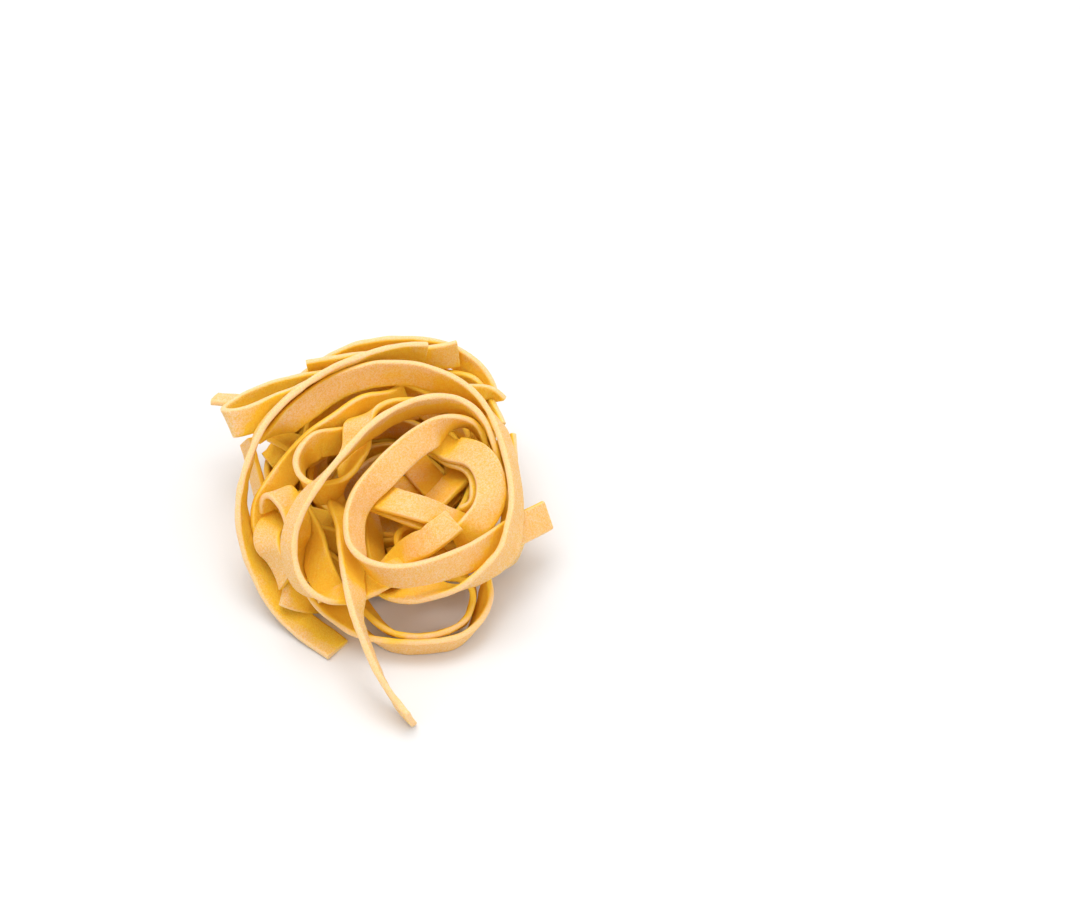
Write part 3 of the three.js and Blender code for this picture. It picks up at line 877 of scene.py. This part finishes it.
# The 26 ways from a cell to those round it. What each ray meets is eased over the nearest cells.
rays = unit(np.array([way for way in np.ndindex(3, 3, 3) if way != (1, 1, 1)]) - 1.0)
covered = []
for ray in rays:
    hit = np.zeros([s.stop - s.start for s in middle_cells], np.float32)
    for far in np.arange(SHELTER_START, SHELTER_REACH, SHELTER_STEP):
        shift = np.round(ray * far / SHELTER_CELL).astype(int)
        view = tuple(slice(s.start + k, s.stop + k) for s, k in zip(middle_cells, shift))
        hit = np.maximum(hit, filled[view] * (1 - SHELTER_FADE * far / SHELTER_REACH))
    for axis in range(3):
        hit = (np.roll(hit, 1, axis) + 2 * hit + np.roll(hit, -1, axis)) / 4
    covered.append(hit)
covered = np.stack(covered)

# A ray starts this many cells off the face. One whose cosine to the face's normal is below grazing
# isn't counted, and the rest weigh by this number plus how far they point up.
CLEAR_OF_FACE = 0.6
GRAZING = 0.1
EVEN_WEIGHT = 1.3


# Painted shade: how covered a point is sets how much darker and more golden its dough is painted.
def painted_shade(piece):
    """Writes how covered each point is: over the rays that leave its side of the dough, the mean of
    how soon each meets another strand. Rays that leave squarely or upwards weigh the most."""
    mesh = piece.data
    place = np.empty(len(mesh.vertices) * 3, np.float32)
    normal = np.empty(len(mesh.vertices) * 3, np.float32)
    mesh.vertices.foreach_get("co", place)
    mesh.vertices.foreach_get("normal", normal)
    normal = normal.reshape(-1, 3)
    start = place.reshape(-1, 3) / MM + normal * CLEAR_OF_FACE * SHELTER_CELL - corner
    cell = np.round(start / SHELTER_CELL - 0.5).astype(int) - inset
    cell = np.clip(cell, 0, np.array(covered.shape[1:]) - 1)
    facing = np.maximum(normal @ rays.T - GRAZING, 0) * (EVEN_WEIGHT + rays[:, 2])
    seen = covered[:, cell[:, 0], cell[:, 1], cell[:, 2]].T
    value = (facing * seen).sum(1) / np.maximum(facing.sum(1), 1e-6)
    write_values(mesh, "painted_shade", value.astype(np.float32))


# Each strand piece gets the cover values that the dough paints as shade.
for piece in bpy.context.scene.objects:
    if piece.type == "MESH" and "cut_edge" in piece.data.attributes:
        painted_shade(piece)


# ---- Table, light and camera ----
# A plain pale surface, a broad soft lamp overhead and a little behind the nest, a weak one at the
# front right, and a camera that looks squarely down on the open face.

FLOOR_HALF = 1.5
TABLE_COLOUR = (0.80, 0.80, 0.81, 1)
ROOM_COLOUR = (1.0, 0.99, 0.97, 1)
ROOM_LIGHT = 0.84
floor_mesh = bpy.data.meshes.new("floor")
corners = [(x * FLOOR_HALF, y * FLOOR_HALF, 0) for x, y in ((-1, -1), (1, -1), (1, 1), (-1, 1))]
floor_mesh.from_pydata(corners, [], [(0, 1, 2, 3)])
floor = bpy.data.objects.new("floor", floor_mesh)
bpy.context.scene.collection.objects.link(floor)
white_table = bpy.data.materials.new("white_table")
white_table.use_nodes = True
table_shader = white_table.node_tree.nodes["Principled BSDF"]
table_shader.inputs["Base Color"].default_value = TABLE_COLOUR
table_shader.inputs["Roughness"].default_value = 0.9
floor_mesh.materials.append(white_table)


LAMP_AIM = (0.0, 0.0, 0.015)


def soft_lamp(name, place, size, power):
    """A square area lamp at place, turned to face the nest."""
    light = bpy.data.lights.new(name, "AREA")
    light.shape = "SQUARE"
    light.size = size
    light.energy = power
    lamp = bpy.data.objects.new(name, light)
    lamp.location = place
    toward = np.subtract(LAMP_AIM, place)
    pitch = math.acos(-toward[2] / np.linalg.norm(toward))
    lamp.rotation_euler = (pitch, 0, math.atan2(toward[1], toward[0]) - math.pi / 2)
    bpy.context.scene.collection.objects.link(lamp)


soft_lamp("key_lamp", (-0.08, 0.12, 0.85), size=0.6, power=4.2)
soft_lamp("fill_lamp", (0.6, -0.5, 0.5), size=0.6, power=1.0)

world = bpy.data.worlds.new("soft_room")
bpy.context.scene.world = world
world.use_nodes = True
world.node_tree.nodes["Background"].inputs["Color"].default_value = ROOM_COLOUR
world.node_tree.nodes["Background"].inputs["Strength"].default_value = ROOM_LIGHT

bpy.context.scene.view_settings.view_transform = "Standard"

CAMERA_TARGET = np.array([39.0, 30.5, 0.0])
CAMERA_DISTANCE = 660.0
CAMERA_LENS = 85.0
camera_data = bpy.data.cameras.new("camera")
camera_data.lens = CAMERA_LENS
camera = bpy.data.objects.new("camera", camera_data)
camera.location = (CAMERA_TARGET - CAMERA_DISTANCE * INWARD) * MM
camera.rotation_euler = (math.pi / 2 - FACE_TILT, 0, 0)
bpy.context.scene.collection.objects.link(camera)
bpy.context.scene.camera = camera
